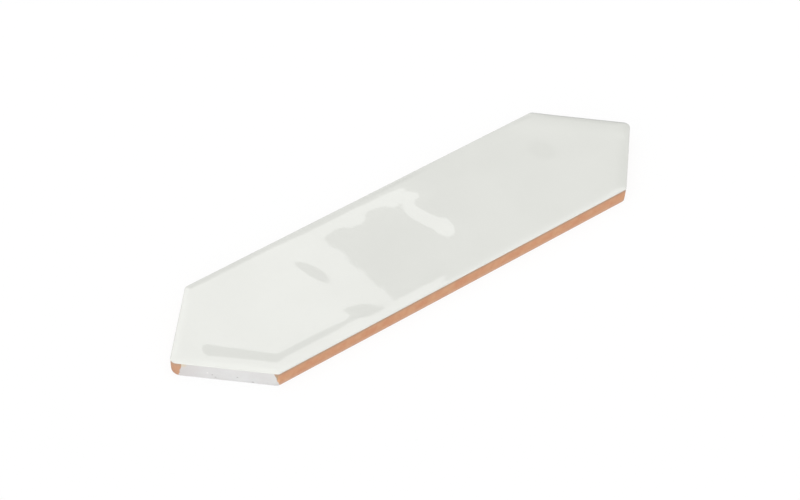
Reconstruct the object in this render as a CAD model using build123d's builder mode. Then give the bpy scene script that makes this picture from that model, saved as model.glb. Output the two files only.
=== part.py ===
from build123d import *
from math import radians, sin, tan
import os

# A glazed picket tile: an elongated hexagon with a square point at each end.
# It lies glaze up, centred on X = Y = 0, with its underside on Z = 0.
# X runs along the tile, Y across it. Millimetres.

# Plan
tile_length = 300.0      # over the two rounded tips
tile_width = 75.0
point_angle = 90.0       # between the two short sides of a point
tip_radius = 3.5
shoulder_radius = 2.0    # where a long side meets a point

# Height
tile_height = 9.5        # over the middle of the glazed face
cushion_width = 5.0      # the face rolls off over this width all round
cushion_drop = 0.7       # from the face down to the arris
cushion_steps = 4        # outlines that carry the roll-off
field_tip_radius = 7.0   # the flat field has softer corners than the edge
field_shoulder_radius = 12.0

# Glaze
glaze_coat = 0.5         # on the face
glaze_lip = 0.15         # how far the glaze stands proud of the bare side
glaze_line = 8.1         # height on the side where the glaze ends
arris_radius = 0.6

# Clay body
side_draft = 1.5         # degrees, the side narrows towards the underside
side_steps = 4           # outlines that carry the side
foot_tip_radius = 5.5    # the corners are softer at the foot than under the glaze
foot_shoulder_radius = 4.0
body_arris_radius = 0.4
foot_bevel = 0.1

# Keyed underside: a plain margin, and grooves between ribs along the tile
key_margin = 8.0
key_depth = 0.8
rib_width = 3.0
rib_count = 5


def picket(inset, tip_round, shoulder_round):
    """Draw the outline, moved in by inset, in the sketch at hand."""
    half_angle = radians(point_angle / 2)
    tip_cut = tip_radius / sin(half_angle) - tip_radius
    half_length = tile_length / 2 + tip_cut - inset / sin(half_angle)
    half_width = tile_width / 2 - inset
    shoulder = half_length - half_width / tan(half_angle)
    Polygon(
        (half_length, 0),
        (shoulder, half_width),
        (-shoulder, half_width),
        (-half_length, 0),
        (-shoulder, -half_width),
        (shoulder, -half_width),
    )
    fillet(vertices().group_by(Axis.X)[0] + vertices().group_by(Axis.X)[-1], tip_round)
    fillet(vertices().group_by(Axis.Y)[0] + vertices().group_by(Axis.Y)[-1], shoulder_round)


def crown_outlines(inset, top):
    """The rolled-off face as outlines, from its arris up to the flat field at height top."""
    outlines = []
    for step in range(cushion_steps):
        share = step / (cushion_steps - 1)
        reach = inset + share * (cushion_width - inset)
        tip_round = (tip_radius - inset) * (1 - share) + field_tip_radius * share
        shoulder_round = (shoulder_radius - inset) * (1 - share) + field_shoulder_radius * share
        with BuildSketch(Plane.XY.offset(top - cushion_drop * (1 - share) ** 2)) as outline:
            picket(reach, tip_round, shoulder_round)
        outlines.append(outline.sketch)
    return outlines


def side_outline(height, extra_inset=0.0):
    """The outline of the bare side at a height. Its corners soften towards the foot."""
    inset = glaze_lip + (body_arris - height) * tan(radians(side_draft))
    softness = (1 - height / body_arris) ** 2
    tip_round = (tip_radius - glaze_lip) * (1 - softness) + foot_tip_radius * softness
    shoulder_round = (shoulder_radius - glaze_lip) * (1 - softness) + foot_shoulder_radius * softness
    with BuildSketch(Plane.XY.offset(height)) as outline:
        picket(inset + extra_inset, tip_round, shoulder_round)
    return outline.sketch


# The clay body, bare on its sides and keyed underneath
body_top = tile_height - glaze_coat
body_arris = body_top - cushion_drop
rib_pitch = (tile_width - 2 * key_margin) / (rib_count + 1)

with BuildPart() as body:
    loft([side_outline(0, foot_bevel), side_outline(foot_bevel)])
    side_rise = (body_arris - foot_bevel) / (side_steps - 1)
    loft([side_outline(foot_bevel + step * side_rise) for step in range(side_steps)])
    loft(crown_outlines(glaze_lip, body_top))
    fillet(body.edges().filter_by_position(Axis.Z, body_arris, body_arris), body_arris_radius)
    with BuildSketch(Plane.XY):
        picket(key_margin, tip_radius, shoulder_radius)
        with GridLocations(0, rib_pitch, 1, rib_count):
            Rectangle(tile_length, rib_width, mode=Mode.SUBTRACT)
    extrude(amount=key_depth, mode=Mode.SUBTRACT)
body.part.label = "body"

# The glaze, a thin coat that follows the face over the arris and ends in a lip
arris = tile_height - cushion_drop

with BuildPart() as glaze:
    with BuildSketch(Plane.XY.offset(glaze_line)):
        picket(0, tip_radius, shoulder_radius)
    extrude(amount=arris - glaze_line)
    loft(crown_outlines(0, tile_height))
    fillet(glaze.edges().filter_by_position(Axis.Z, arris, arris), arris_radius)
    add(body.part, mode=Mode.SUBTRACT)
glaze.part.label = "glaze"

os.makedirs("parts", exist_ok=True)
export_step(body.part, "parts/body.step")
export_step(glaze.part, "parts/glaze.step")
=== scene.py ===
import math

import bmesh
import bpy
import numpy as np
from mathutils import Matrix, Vector
from mathutils.geometry import delaunay_2d_cdt


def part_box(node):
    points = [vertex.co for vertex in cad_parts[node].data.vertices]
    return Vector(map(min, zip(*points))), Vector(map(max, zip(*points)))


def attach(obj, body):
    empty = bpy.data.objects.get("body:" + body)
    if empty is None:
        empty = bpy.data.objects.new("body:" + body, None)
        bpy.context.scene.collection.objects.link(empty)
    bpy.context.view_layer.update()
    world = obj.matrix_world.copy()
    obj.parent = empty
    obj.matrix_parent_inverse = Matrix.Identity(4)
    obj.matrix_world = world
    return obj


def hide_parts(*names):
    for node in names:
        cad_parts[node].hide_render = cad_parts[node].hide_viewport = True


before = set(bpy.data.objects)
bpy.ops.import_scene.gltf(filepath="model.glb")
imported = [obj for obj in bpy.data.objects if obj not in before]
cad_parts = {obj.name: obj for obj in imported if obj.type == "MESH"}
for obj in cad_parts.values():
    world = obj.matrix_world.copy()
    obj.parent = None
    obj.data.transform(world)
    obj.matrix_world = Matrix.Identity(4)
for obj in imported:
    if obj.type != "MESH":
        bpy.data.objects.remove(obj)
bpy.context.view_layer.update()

# Glazed picket tile, lying glaze up. X runs along the tile, Y across it. Metres, except where a
# name ends in _mm or a comment says millimetres.

MM = 0.001

# Sizes of the tile, as in its solids
_, glaze_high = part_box("glaze")
half_length_mm = glaze_high.x / MM
half_width_mm = glaze_high.y / MM
top_mm = glaze_high.z / MM
tip_radius_mm = 3.5
shoulder_radius_mm = 2.0
field_tip_radius_mm = 7.0
field_shoulder_radius_mm = 12.0
cushion_width_mm = 5.0
arris_radius_mm = 0.6
glaze_line_mm = 8.1
glaze_lip_mm = 0.15
lip_round_mm = 0.07                   # the glaze ends in a small round at its lower edge
middle_of_round = 0.3                 # share of its radius that a round's middle lies in from its ends
glaze_coat_mm = 0.5
body_arris_mm = 8.3
body_drop_mm = 0.7                    # from the top of the clay down to its arris
sharp_tip_mm = half_length_mm + tip_radius_mm * (math.sqrt(2) - 1)   # the tip before its rounding

# Fineness of the glaze mesh
ring_step_mm = 0.9
field_step_mm = 0.9
tip_arc_points = 17
shoulder_arc_points = 9
arris_steps = 8
cushion_steps = 10
seat_shares = (0.1, 0.25, 0.5, 0.75, 1.0)   # of the cushion's width, where the underside has rings
long_side_share = 0.75                      # of the tile's length
short_side_share = 1.4                      # of half its width


def add_object(name, vertices, faces):
    mesh = bpy.data.meshes.new(name)
    mesh.from_pydata(vertices, [], faces)
    mesh.update()
    obj = bpy.data.objects.new(name, mesh)
    bpy.context.scene.collection.objects.link(obj)
    return obj


# The picket outline

def corner(sharp_point, before, after, radius, count):
    """Points of the arc that rounds a corner, from the side towards before to the side towards after."""
    into = (before - sharp_point) / np.linalg.norm(before - sharp_point)
    out = (after - sharp_point) / np.linalg.norm(after - sharp_point)
    bisector = (into + out) / np.linalg.norm(into + out)
    half_angle = math.acos(float(into @ bisector))
    centre = sharp_point + bisector * radius / math.sin(half_angle)
    start = sharp_point + into * radius / math.tan(half_angle) - centre
    turn = math.pi - 2 * half_angle
    angles = np.linspace(0.0, turn, count)
    return [centre + (math.cos(a) * start[0] - math.sin(a) * start[1],
                      math.sin(a) * start[0] + math.cos(a) * start[1]) for a in angles]


def outline(inset, tip_radius, shoulder_radius, step):
    """The picket outline moved in by inset, anticlockwise from the near left shoulder, in millimetres."""
    sharp = sharp_tip_mm - inset * math.sqrt(2)
    width = half_width_mm - inset
    shoulder = sharp - width
    points = [np.array(p) for p in (
        (-shoulder, -width), (shoulder, -width), (sharp, 0.0),
        (shoulder, width), (-shoulder, width), (-sharp, 0.0))]
    radii = (shoulder_radius, shoulder_radius, tip_radius, shoulder_radius, shoulder_radius, tip_radius)
    corners = []
    for i, radius in enumerate(radii):
        count = tip_arc_points if radius == tip_radius else shoulder_arc_points
        corners.append(corner(points[i], points[i - 1], points[(i + 1) % 6], radius, count))
    long_count = int(2 * half_length_mm * long_side_share / step)
    short_count = int(half_width_mm * short_side_share / step)
    loop = []
    for i in range(6):
        loop.extend(corners[i])
        start, end = corners[i][-1], corners[(i + 1) % 6][0]
        count = long_count if i in (0, 3) else short_count
        loop.extend(start + (end - start) * k / count for k in range(1, count))
    return np.array(loop)


# Waves in the glazed face, in millimetres

# Beads of thicker glaze along the sides: distance of the crest from the side, half width, height
BEADS = {
    "front": (6.0, 2.4, 0.21),
    "back": (4.6, 2.6, 0.15),
    "near left": (5.4, 4.3, 0.27),
    "far left": (4.0, 2.8, 0.08),
    "far right": (8.5, 4.6, 0.27),
    "near right": (6.0, 2.8, 0.14),
}
bead_power = 4                        # beads that meet are blended as a sum of their fourth powers
faint_bead_mm = 0.02                  # height that a bead keeps past its end

# The front bead nears its side, and ends at the wedge on a slanting line. Low down it ends slowly.
front_shift_mm = 0.6
front_shift_x_mm = (-105.0, -45.0)
front_end_slant = (0.613, 0.79)       # weights of x and y
front_end_mm = (-61.0, -54.0)         # along the slant
front_low_end_mm = (-70.6, -51.6)     # the same, low down
front_low_y_mm = (-31.0, -34.0)

# The back bead starts close to its side, and sinks in two equal steps
back_start_crest_mm = 2.8
back_start_x_mm = (-64.0, -40.0)
back_steps_x_mm = ((-8.0, 8.0), (20.0, 40.0))

# The near left bead starts along this range of x - y
near_left_start_mm = (-135.0, -125.0)

# Single swells: x, y, half length, half width, turn in degrees, height
SWELLS = {
    "comma": (-62.0, 7.5, 4.6, 12.0, 8.0, 0.095),
    "wedge": (-60.5, -28.0, 8.0, 4.0, -35.0, 0.105),
    "finger": (24.0, 0.6, 6.8, 7.6, 34.0, 0.30),
    "neck": (17.5, 12.5, 5.5, 5.5, 0.0, 0.13),
    "blob": (29.0, 23.0, 7.8, 9.0, 0.0, 0.39),
    "blob skirt": (12.0, 33.5, 13.0, 9.0, 0.0, 0.33),
    "back swell": (-11.0, 27.0, 6.0, 4.5, 0.0, 0.055),
}

# Distances from any side where the waves start and where they are at full height. From the back
# side that second distance grows along a range of x.
fade_mm = (0.4, 2.6)
back_fade_mm = (2.2, 4.5)
back_fade_x_mm = (-40.0, -10.0)

highest_wave_mm = 0.492
field_mm = top_mm - highest_wave_mm   # height of the field between the waves
edge_drop_mm = 0.35                   # from the field down to the arris
back_edge_drop_mm = 0.18              # the same along the back side, and the far part of the front
lift_fade_mm = (10.0, 2.0)            # distances from the side where that lift starts and is full
front_lift_x_mm = (-35.0, -5.0)


def ease(value, start, end):
    """Zero before start, one past end, and an easy curve between."""
    t = np.clip((value - start) / (end - start), 0.0, 1.0)
    return t * t * (3 - 2 * t)


def between(first, second, share):
    return first + (second - first) * share


def side_distances(x, y):
    """Distance inwards from each sharp side of the outline, in millimetres."""
    return {
        "front": half_width_mm + y,
        "back": half_width_mm - y,
        "near left": (sharp_tip_mm + x + y) / math.sqrt(2),
        "far left": (sharp_tip_mm + x - y) / math.sqrt(2),
        "far right": (sharp_tip_mm - x - y) / math.sqrt(2),
        "near right": (sharp_tip_mm - x + y) / math.sqrt(2),
    }


def edge_distance(x, y):
    """Distance inwards from the nearest side, in millimetres."""
    return np.minimum.reduce(list(side_distances(x, y).values()))


def front_bead(x, y, crest, height):
    """Crest and height of the front bead at each place."""
    low = ease(y, *front_low_y_mm)
    start = between(front_end_mm[0], front_low_end_mm[0], low)
    end = between(front_end_mm[1], front_low_end_mm[1], low)
    slant = front_end_slant[0] * x + front_end_slant[1] * y
    crest = crest - front_shift_mm * ease(x, *front_shift_x_mm)
    return crest, height * (1 - ease(slant, start, end))


def back_bead(x, crest, height):
    """Crest and height of the back bead at each place."""
    sunk = sum(ease(x, *step) for step in back_steps_x_mm) / len(back_steps_x_mm)
    crest = between(back_start_crest_mm, crest, ease(x, *back_start_x_mm))
    return crest, height * (1 - sunk) + faint_bead_mm


def beads(x, y):
    """Height of the beads along the sides. Where two meet, they flow into each other."""
    away = side_distances(x, y)
    total = np.zeros_like(x)
    for side, (crest, half_width, height) in BEADS.items():
        if side == "front":
            crest, height = front_bead(x, y, crest, height)
        if side == "back":
            crest, height = back_bead(x, crest, height)
        if side == "near left":
            height = height * ease(x - y, *near_left_start_mm) + faint_bead_mm
        total += (height * np.exp(-0.5 * ((away[side] - crest) / half_width) ** 2)) ** bead_power
    return total ** (1 / bead_power)


def swells(x, y):
    """Height of the single swells."""
    total = np.zeros_like(x)
    for cx, cy, half_long, half_wide, turn, height in SWELLS.values():
        a = math.radians(turn)
        along = (x - cx) * math.cos(a) + (y - cy) * math.sin(a)
        across = -(x - cx) * math.sin(a) + (y - cy) * math.cos(a)
        total += height * np.exp(-0.5 * ((along / half_long) ** 2 + (across / half_wide) ** 2))
    return total


def waves(x, y):
    """Height of the waves over the level field, fading out at the arris, and more slowly at the back."""
    fade = ease(edge_distance(x, y), *fade_mm)
    back_reach = between(*back_fade_mm, ease(x, *back_fade_x_mm))
    back_fade = ease(side_distances(x, y)["back"], 0.0, back_reach)
    return (beads(x, y) + swells(x, y)) * fade * back_fade


def edge_lift(x, y):
    """How much higher the arris stands along the back and the far part of the front than elsewhere."""
    away = side_distances(x, y)
    back = ease(away["back"], *lift_fade_mm)
    front = ease(away["front"], *lift_fade_mm) * ease(x, *front_lift_x_mm)
    return (edge_drop_mm - back_edge_drop_mm) * np.maximum(back, front)


# The glaze coat

def ring(inset):
    """The outline moved in by inset, with corners between those of the edge and of the field."""
    share = inset / cushion_width_mm
    edge_cut = min(inset, arris_radius_mm)
    tip = between(tip_radius_mm - edge_cut, field_tip_radius_mm, share)
    shoulder = between(shoulder_radius_mm - edge_cut, field_shoulder_radius_mm, share)
    return outline(inset, tip, shoulder, ring_step_mm)


def glaze_profile():
    """Rings from the glaze line up to the field: inset, height, and share of the edge lift."""
    slope = 2 * edge_drop_mm / cushion_width_mm
    reach = math.pi / 2 - math.atan(slope)
    arc_inset = arris_radius_mm * (1 - math.cos(reach))

    def lift_share(inset):
        return (1 - inset / cushion_width_mm) ** 2

    def crown(inset):
        return field_mm - edge_drop_mm * lift_share(inset)

    arc_low = crown(arc_inset) - arris_radius_mm * math.sin(reach)
    in_round = lip_round_mm * middle_of_round
    profile = [
        (glaze_lip_mm, glaze_line_mm, 0.0),
        (lip_round_mm, glaze_line_mm, 0.0),
        (in_round, glaze_line_mm + in_round, 0.0),
        (0.0, glaze_line_mm + lip_round_mm, 0.0),
    ]
    for k in range(arris_steps + 1):
        a = reach * k / arris_steps
        inset = arris_radius_mm * (1 - math.cos(a))
        profile.append((inset, arc_low + arris_radius_mm * math.sin(a), lift_share(inset)))
    for k in range(1, cushion_steps + 1):
        inset = between(arc_inset, cushion_width_mm, k / cushion_steps)
        profile.append((inset, crown(inset), lift_share(inset)))
    return profile


def seat_profile():
    """Rings of the underside, which follows the roll-off of the clay: inset and height."""
    profile = [(glaze_lip_mm, body_arris_mm)]
    for share in seat_shares:
        inset = between(glaze_lip_mm, cushion_width_mm, share)
        profile.append((inset, top_mm - glaze_coat_mm - body_drop_mm * (1 - share) ** 2))
    return profile


def field_points(rim):
    """The level field inside the last ring: its points, on a grid of triangles, and its faces."""
    rim_gap_mm = 0.6 * field_step_mm
    tip_gap_mm = 2.0
    xs = np.arange(-half_length_mm, half_length_mm, field_step_mm)
    ys = np.arange(-half_width_mm, half_width_mm, field_step_mm * math.sqrt(3) / 2)
    grid_x, grid_y = np.meshgrid(xs, ys)
    grid_x = grid_x + (np.arange(len(ys)) % 2)[:, None] * field_step_mm / 2
    keep = edge_distance(grid_x, grid_y) > cushion_width_mm + rim_gap_mm
    keep &= np.abs(grid_x) < half_length_mm - field_tip_radius_mm - tip_gap_mm
    flat = [Vector(p) for p in rim] + [Vector(p) for p in np.stack([grid_x[keep], grid_y[keep]], 1)]
    edges = [(k, (k + 1) % len(rim)) for k in range(len(rim))]
    triangles_inside = 1   # the kind of result
    smallest_gap = 1e-6
    points, _, triangles, *_ = delaunay_2d_cdt(flat, edges, [], triangles_inside, smallest_gap)
    return np.array([tuple(p) for p in points]), triangles


def weld(mesh):
    """Joins vertices at the same place, turns all faces outwards and shades them smooth."""
    same_place = 1e-7
    bm = bmesh.new()
    bm.from_mesh(mesh)
    bmesh.ops.remove_doubles(bm, verts=bm.verts, dist=same_place)
    bmesh.ops.recalc_face_normals(bm, faces=bm.faces)
    bm.to_mesh(mesh)
    bm.free()
    mesh.shade_smooth()


def make_glaze():
    """The glaze coat: lip, arris, rolled-off edge and waved face, closed underneath by its seat."""
    vertices = []   # in millimetres
    faces = []

    def add_ring(flat, heights):
        first = len(vertices)
        vertices.extend((x, y, z) for (x, y), z in zip(flat, heights))
        return range(first, len(vertices))

    def bridge(low, high):
        n = len(low)
        faces.extend((low[k], low[(k + 1) % n], high[(k + 1) % n], high[k]) for k in range(n))

    loops = []
    for inset, z, lift_share in glaze_profile():
        flat = ring(inset)
        x, y = flat.T
        loops.append(add_ring(flat, z + waves(x, y) + lift_share * edge_lift(x, y)))
    for low, high in zip(loops, loops[1:]):
        bridge(low, high)
    flat, triangles = field_points(ring(cushion_width_mm))
    field = add_ring(flat, field_mm + waves(*flat.T))
    faces.extend(tuple(field[k] for k in t) for t in triangles)
    below = loops[0]
    for inset, z in seat_profile():
        flat = ring(inset)
        loop = add_ring(flat, np.full(len(flat), z))
        bridge(loop, below)
        below = loop
    faces.append(tuple(reversed(below)))
    obj = add_object("glaze_coat", [(x * MM, y * MM, z * MM) for x, y, z in vertices], faces)
    weld(obj.data)
    return obj


# Nodes

def new_material(name):
    """A material with a shader and an output, joined up."""
    material = bpy.data.materials.new(name)
    material.use_nodes = True
    nodes = material.node_tree.nodes
    nodes.clear()
    output = nodes.new("ShaderNodeOutputMaterial")
    shader = nodes.new("ShaderNodeBsdfPrincipled")
    material.node_tree.links.new(shader.outputs[0], output.inputs[0])
    return material, shader


def add(material, kind, inputs=None, **settings):
    """A node with its settings and its inputs, each a value or another node's output."""
    node = material.node_tree.nodes.new(kind)
    for key, value in settings.items():
        setattr(node, key, value)
    for key, value in (inputs or {}).items():
        if isinstance(value, bpy.types.NodeSocket):
            material.node_tree.links.new(value, node.inputs[key])
        else:
            node.inputs[key].default_value = value
    return node


def rgba(colour):
    return (*colour, 1.0)


def ramp(material, factor, stops):
    """A colour by level, from stops that are each a level and its colour."""
    node = add(material, "ShaderNodeValToRGB", {"Fac": factor})
    for element, (level, colour) in zip(node.color_ramp.elements, stops, strict=True):
        element.position = level
        element.color = rgba(colour)
    return node.outputs["Color"]


def noise(material, place, scale, detail=3.0):
    node = add(material, "ShaderNodeTexNoise", {"Vector": place, "Scale": scale, "Detail": detail})
    return node.outputs["Fac"]


def number(material, operation, *values):
    return add(material, "ShaderNodeMath", dict(enumerate(values)), operation=operation).outputs[0]


# Places of the sockets on a Mix node that mixes colours
MIX_SHARE, MIX_FIRST, MIX_SECOND, MIX_RESULT = 0, 6, 7, 2


def mix(material, share, first, second):
    """The first colour with a share of the second laid over it."""
    inputs = {MIX_SHARE: share, MIX_FIRST: first, MIX_SECOND: second}
    return add(material, "ShaderNodeMix", inputs, data_type="RGBA").outputs[MIX_RESULT]


def weigh(material, place, weights, offset=0.0):
    """The coordinates of a place, weighed and summed, plus an offset in metres."""
    node = add(material, "ShaderNodeVectorMath", {0: place, 1: weights}, operation="DOT_PRODUCT")
    return number(material, "ADD", node.outputs["Value"], offset)


def rise(material, value, low, high):
    """Zero where the value is below low, one above high, and an easy curve between."""
    node = add(material, "ShaderNodeMapRange", {"Value": value, "From Min": low, "From Max": high},
               interpolation_type="SMOOTHSTEP")
    return node.outputs["Result"]


def fall(material, value, low, high):
    """One where the value is below low, zero above high, and an easy curve between."""
    return number(material, "SUBTRACT", 1.0, rise(material, value, low, high))


def spot(material, place, centre_mm, radii_mm):
    """One in the middle of an upright ellipsoid, easing to zero at its surface."""
    full_share = 0.4   # of the radius, up to where it is still one
    scale = [1 / (radius * MM) for radius in radii_mm]
    shift = [-c / radius for c, radius in zip(centre_mm, radii_mm)]
    away = add(material, "ShaderNodeVectorMath", {0: place, 1: scale, 2: shift}, operation="MULTIPLY_ADD")
    length = add(material, "ShaderNodeVectorMath", {0: away.outputs["Vector"]}, operation="LENGTH")
    return fall(material, length.outputs["Value"], full_share, 1.0)


def lay_over(material, colour, cover, strength, layer):
    """The colour under a layer, which is as strong as given where the cover is one."""
    return mix(material, number(material, "MULTIPLY", cover, strength), colour, rgba(layer))


def lay_marks(material, place, colour, marks):
    """The colour under each of the marks."""
    for centre_mm, radii_mm, strength, layer in marks:
        cover = spot(material, place, centre_mm, radii_mm)
        colour = lay_over(material, colour, cover, strength, layer)
    return colour


def set_bump(material, shader, height, depth, strength=1.0):
    bump = add(material, "ShaderNodeBump", {"Height": height, "Distance": depth, "Strength": strength})
    material.node_tree.links.new(bump.outputs["Normal"], shader.inputs["Normal"])


# Colours of the glaze, the wash and the clay, some of them painted shade and painted highlight. Stops are
# each a level of noise and its colour.
GLAZE_STOPS = ((0.35, (0.708, 0.715, 0.678)), (0.65, (0.726, 0.733, 0.696)))
# painted shade for the far right arris of the glaze
PAINTED_ARRIS_SHADE = (0.56, 0.57, 0.55)
WASH_STOPS = ((0.3, (0.593, 0.584, 0.578)), (0.7, (0.634, 0.632, 0.630)))
WARM_WASH = (0.545, 0.520, 0.512)
# painted highlight for the wash's left end
PAINTED_WASH_HIGHLIGHT = (0.60, 0.53, 0.42)
# painted shade in the wash's pits
PAINTED_PIT_SHADE = (0.33, 0.32, 0.31)
CLAY_STOPS = ((0.35, (0.582, 0.280, 0.155)), (0.65, (0.614, 0.338, 0.193)))
FOOT_CLAY = (0.62, 0.44, 0.34)
LEFT_TIP_CLAY = (0.499, 0.275, 0.172)
# painted shade under the glaze lip
PAINTED_SHADE_UNDER_LIP = (0.41, 0.265, 0.185)

# Marks: centre and radii in millimetres, strength, colour
GLAZE_MARKS = [
    ((98.0, 11.0, 9.0), (9.0, 11.0, 9.0), 0.5, (0.672, 0.679, 0.642)),     # cloud
]
WASH_MARKS = [
    # Pits, their dark grey a painted shade
    ((-136.4, -14.6, 2.9), (0.5, 0.5, 0.4), 0.8, PAINTED_PIT_SHADE),
    ((-135.2, -15.7, 1.5), (0.8, 0.8, 0.3), 0.8, PAINTED_PIT_SHADE),
    ((-127.8, -23.2, 3.0), (0.6, 0.6, 0.4), 0.8, PAINTED_PIT_SHADE),
    ((-122.4, -28.5, 0.8), (0.9, 0.9, 0.4), 0.8, PAINTED_PIT_SHADE),
    ((-138.1, -13.0, 3.9), (0.6, 0.6, 0.6), 1.0, (0.72, 0.71, 0.70)),      # fleck
]
CLAY_MARKS = [
    ((-113.4, -37.3, 3.0), (0.8, 0.8, 2.2), 0.6, (0.72, 0.42, 0.24)),      # painted highlight down the near left shoulder
    ((-114.7, -36.4, 5.8), (1.5, 1.5, 4.0), 0.8, (0.36, 0.28, 0.18)),      # darker patch under the glaze at the near left shoulder
    ((113.6, -37.2, 7.8), (1.6, 1.2, 1.2), 0.8, (0.34, 0.32, 0.30)),       # painted shadow under the glaze lip at the near right shoulder
]

# Distances for weigh: weights of x, y and z, and an offset
HEIGHT = ((0.0, 0.0, 1.0), 0.0)
TOWARDS_LEFT_TIP = ((-1.0, 0.0, 0.0), 0.0)
IN_FROM_NEAR_LEFT = ((0.7071, 0.7071, 0.0), 0.1071)
IN_FROM_FAR_RIGHT = ((-0.7071, -0.7071, 0.0), 0.1071)
PAST_LEFT_END_OF_WASH = ((0.7071, -0.7071, -0.16), 0.1020)    # the ends lean as they go up
PAST_RIGHT_END_OF_WASH = ((0.7071, -0.7071, 0.40), 0.0528)


# Materials

def glaze_material():
    """White gloss glaze: faint mottling, a faint cloud, painted shade greying the far right arris, a slight
    ripple.
    """
    material, shader = new_material("white_glaze")
    place = add(material, "ShaderNodeTexCoord").outputs["Object"]
    white = ramp(material, noise(material, place, scale=30.0, detail=6.0), GLAZE_STOPS)
    white = lay_marks(material, place, white, GLAZE_MARKS)
    # Painted shade: the far right arris is greyed in the colour.
    arris = fall(material, weigh(material, place, *IN_FROM_FAR_RIGHT), 0.0003, 0.0016)
    white = lay_over(material, white, arris, 1.0, PAINTED_ARRIS_SHADE)
    material.node_tree.links.new(white, shader.inputs["Base Color"])
    shader.inputs["Roughness"].default_value = 0.02
    shader.inputs["IOR"].default_value = 1.5
    set_bump(material, shader, noise(material, place, scale=70.0, detail=1.0), depth=0.00002)
    return material


def wash_cover(material, place):
    """One where a thin matte wash has run down the near left side of the clay, zero elsewhere."""
    blur = 0.0003
    raggedness = 0.0012
    ragged = number(material, "MULTIPLY", noise(material, place, scale=600.0), raggedness)
    left = number(material, "ADD", weigh(material, place, *PAST_LEFT_END_OF_WASH), ragged)
    right = number(material, "ADD", weigh(material, place, *PAST_RIGHT_END_OF_WASH), ragged)
    on_side = fall(material, weigh(material, place, *IN_FROM_NEAR_LEFT), 0.0009, 0.0012)
    cover = number(material, "MULTIPLY", on_side, rise(material, left, 0.0, blur))
    return number(material, "MULTIPLY", cover, fall(material, right, 0.0, blur))


def wash_colour(material, place):
    """Pale grey, warmer at its left end, with a cream fringe there that is a painted highlight high up, a
    few pits in painted shade and a light fleck.
    """
    grey = ramp(material, noise(material, place, scale=90.0, detail=6.0), WASH_STOPS)
    along = weigh(material, place, *PAST_LEFT_END_OF_WASH)
    grey = lay_over(material, grey, fall(material, along, 0.0, 0.018), 0.7, WARM_WASH)
    # Painted highlight: a cream fringe high up at the wash's left end.
    high = rise(material, weigh(material, place, *HEIGHT), 0.0058, 0.0068)
    grey = lay_over(material, grey, fall(material, along, 0.0008, 0.0028), high, PAINTED_WASH_HIGHLIGHT)
    return lay_marks(material, place, grey, WASH_MARKS)


def clay_colour(material, place):
    """Terracotta, pink and tan by patches, with painted shade under the glaze and paler at the foot; at the
    near shoulders a painted highlight, a darker patch and a painted shadow.
    """
    height = weigh(material, place, *HEIGHT)
    left_tip = rise(material, weigh(material, place, *TOWARDS_LEFT_TIP), 0.140, 0.147)
    clay = ramp(material, noise(material, place, scale=230.0, detail=6.0), CLAY_STOPS)
    clay = lay_over(material, clay, fall(material, height, 0.0, 0.0028), 0.6, FOOT_CLAY)
    clay = lay_over(material, clay, left_tip, 0.9, LEFT_TIP_CLAY)
    clay = lay_marks(material, place, clay, CLAY_MARKS)
    # Painted shade under the glaze lip, darker towards the top of the clay.
    return lay_over(material, clay, rise(material, height, 0.0058, 0.0076), 0.75, PAINTED_SHADE_UNDER_LIP)


def clay_material():
    """Bare fired terracotta with a fine grain, washed pale on the near left side."""
    material, shader = new_material("clay_body")
    place = add(material, "ShaderNodeTexCoord").outputs["Object"]
    cover = wash_cover(material, place)
    colour = mix(material, cover, clay_colour(material, place), wash_colour(material, place))
    material.node_tree.links.new(colour, shader.inputs["Base Color"])
    shader.inputs["Roughness"].default_value = 0.9
    set_bump(material, shader, noise(material, place, scale=2200.0), depth=0.00006, strength=0.6)
    return material


def floor_material():
    """Matte and pale. The camera and reflections see it white, with the tile's soft shadow kept faintly."""
    white_share = 0.9
    material, shader = new_material("pale_floor")
    shader.inputs["Base Color"].default_value = rgba((0.96, 0.96, 0.96))
    shader.inputs["Roughness"].default_value = 1.0
    shader.inputs["Specular IOR Level"].default_value = 0.0
    glow = add(material, "ShaderNodeEmission", {"Color": rgba((1.0, 1.0, 1.0)), "Strength": 1.0})
    path = add(material, "ShaderNodeLightPath")
    seen = number(material, "MAXIMUM", path.outputs["Is Camera Ray"], path.outputs["Is Glossy Ray"])
    seen = number(material, "MAXIMUM", seen, path.outputs["Is Transmission Ray"])
    share = number(material, "MULTIPLY", seen, white_share)
    blend = add(material, "ShaderNodeMixShader", {0: share, 1: shader.outputs[0], 2: glow.outputs[0]})
    output = next(n for n in material.node_tree.nodes if n.type == "OUTPUT_MATERIAL")
    material.node_tree.links.new(blend.outputs[0], output.inputs[0])
    return material


def panel_material():
    """White light, a little stronger in the panels' far left part."""
    weakest = 2.15
    added = 0.35
    core_right = 3.5
    core_near = 4.9
    material = bpy.data.materials.new("panel_light")
    material.use_nodes = True
    nodes = material.node_tree.nodes
    nodes.clear()
    output = nodes.new("ShaderNodeOutputMaterial")
    place = add(material, "ShaderNodeTexCoord").outputs["Object"]
    left = rise(material, weigh(material, place, (-1.0, 0.0, 0.0), core_right), 0.0, 0.7)
    far = rise(material, weigh(material, place, (0.0, 1.0, 0.0), -core_near), 0.0, 0.8)
    core = number(material, "MULTIPLY", left, far)
    strength = number(material, "MULTIPLY_ADD", core, added, weakest)
    glow = add(material, "ShaderNodeEmission", {"Color": rgba((1.0, 1.0, 1.0)), "Strength": strength})
    material.node_tree.links.new(glow.outputs[0], output.inputs[0])
    return material


# Stage: floor, light and camera

def floor():
    """A wide pale floor, just under the tile."""
    reach = 12.0
    z = -0.0001
    corners = [(-reach, -reach, z), (reach, -reach, z), (reach, reach, z), (-reach, reach, z)]
    obj = add_object("floor", corners, [(0, 1, 2, 3)])
    obj.data.materials.append(floor_material())


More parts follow.
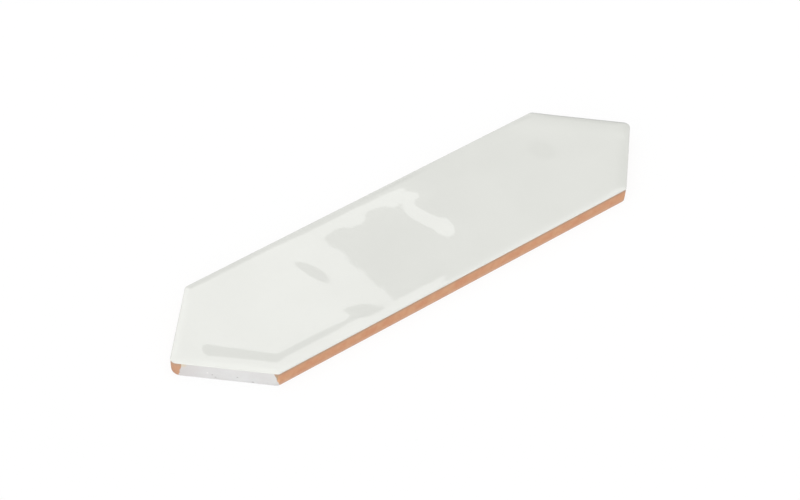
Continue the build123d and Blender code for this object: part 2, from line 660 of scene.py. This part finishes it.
def light_panels():
    """White panels in one outline, hanging high over the far right. The glaze mirrors that outline."""
    height = 6.0
    left = 0.4
    near = -1.2
    far = 8.0
    right_edge = [
        (2.8, near), (4.2, 3.9), (4.45, 4.56), (4.235, 4.56), (4.263, 5.087), (3.69, 5.087), (3.4, far)]
    corners = [(left, near), *right_edge, (left, far)]
    facing_down = [(x, y, height) for x, y in reversed(corners)]
    obj = add_object("light_panels", facing_down, [tuple(range(len(corners)))])
    obj.data.materials.append(panel_material())


def look_from(azimuth, elevation, roll):
    """Axes of a camera: its right, its up, and the way from the tile back to it."""
    a, e, r = (math.radians(v) for v in (azimuth, elevation, roll))
    back = Vector((math.sin(a) * math.cos(e), -math.cos(a) * math.cos(e), math.sin(e)))
    right = Vector((0, 0, 1)).cross(back).normalized()
    up = back.cross(right)
    return (math.cos(r) * right + math.sin(r) * up, -math.sin(r) * right + math.cos(r) * up, back)


def camera():
    """The photograph's viewpoint: a long lens, from the near left and above."""
    right, up, back = look_from(azimuth=-42.883, elevation=42.626, roll=4.678)
    distance = 1.5464
    aim = Vector((-0.00406, 0.00298, -0.00063))
    data = bpy.data.cameras.new("camera")
    data.sensor_width = 36.0
    data.lens = 137.5
    data.clip_end = 50.0
    obj = bpy.data.objects.new("camera", data)
    turn = Matrix((right, up, back)).transposed().to_4x4()
    obj.matrix_world = Matrix.Translation(aim + back * distance) @ turn
    bpy.context.scene.collection.objects.link(obj)
    bpy.context.scene.camera = obj


# Places in the room, as directions from the tile
BEHIND_CAMERA = (-0.728, -0.485, 0.485)
BESIDE_PANELS = (0.558, 0.286, 0.779)
PAST_PANELS = (0.68, 0.40, 0.615)
LOW_FAR_RIGHT = (0.80, 0.59, 0.10)


def dim(world, bright, cover, share):
    """The brightness, less a share of it where the cover is one."""
    return number(world, "MULTIPLY", bright, number(world, "MULTIPLY_ADD", cover, -share, 1.0))


def surroundings():
    """A grey room, brighter behind the camera and dark low down at the far right."""
    grey = 0.5
    peak = 1.75
    peak_in_gloss = 0.55   # weaker in reflections, so that they don't clip in a view from behind
    world = bpy.data.worlds.new("studio")
    bpy.context.scene.world = world
    world.use_nodes = True
    world.node_tree.nodes.clear()
    away = add(world, "ShaderNodeTexCoord").outputs["Generated"]
    lobe = number(world, "MAXIMUM", weigh(world, away, BEHIND_CAMERA), 0.0)
    lobe = number(world, "POWER", lobe, 3.0)
    in_gloss = add(world, "ShaderNodeLightPath").outputs["Is Glossy Ray"]
    lobe_peak = number(world, "MULTIPLY_ADD", in_gloss, peak_in_gloss - peak, peak)
    bright = number(world, "MULTIPLY_ADD", lobe, lobe_peak, grey)
    bright = number(world, "ADD", bright, rise(world, weigh(world, away, BESIDE_PANELS), 0.975, 0.992))
    bright = dim(world, bright, rise(world, weigh(world, away, PAST_PANELS), 0.990, 0.994), 0.6)
    strength = dim(world, bright, rise(world, weigh(world, away, LOW_FAR_RIGHT), 0.845, 0.94), 0.95)
    background = add(world, "ShaderNodeBackground", {"Color": rgba((1.0, 1.0, 1.0)), "Strength": strength})
    output = world.node_tree.nodes.new("ShaderNodeOutputWorld")
    world.node_tree.links.new(background.outputs[0], output.inputs[0])


glaze = make_glaze()
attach(glaze, "root")
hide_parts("glaze")
glaze.data.materials.append(glaze_material())

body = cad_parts["body"]
body.data.materials.clear()
body.data.materials.append(clay_material())

floor()
surroundings()
light_panels()
camera()
bpy.context.scene.view_settings.view_transform = "Standard"
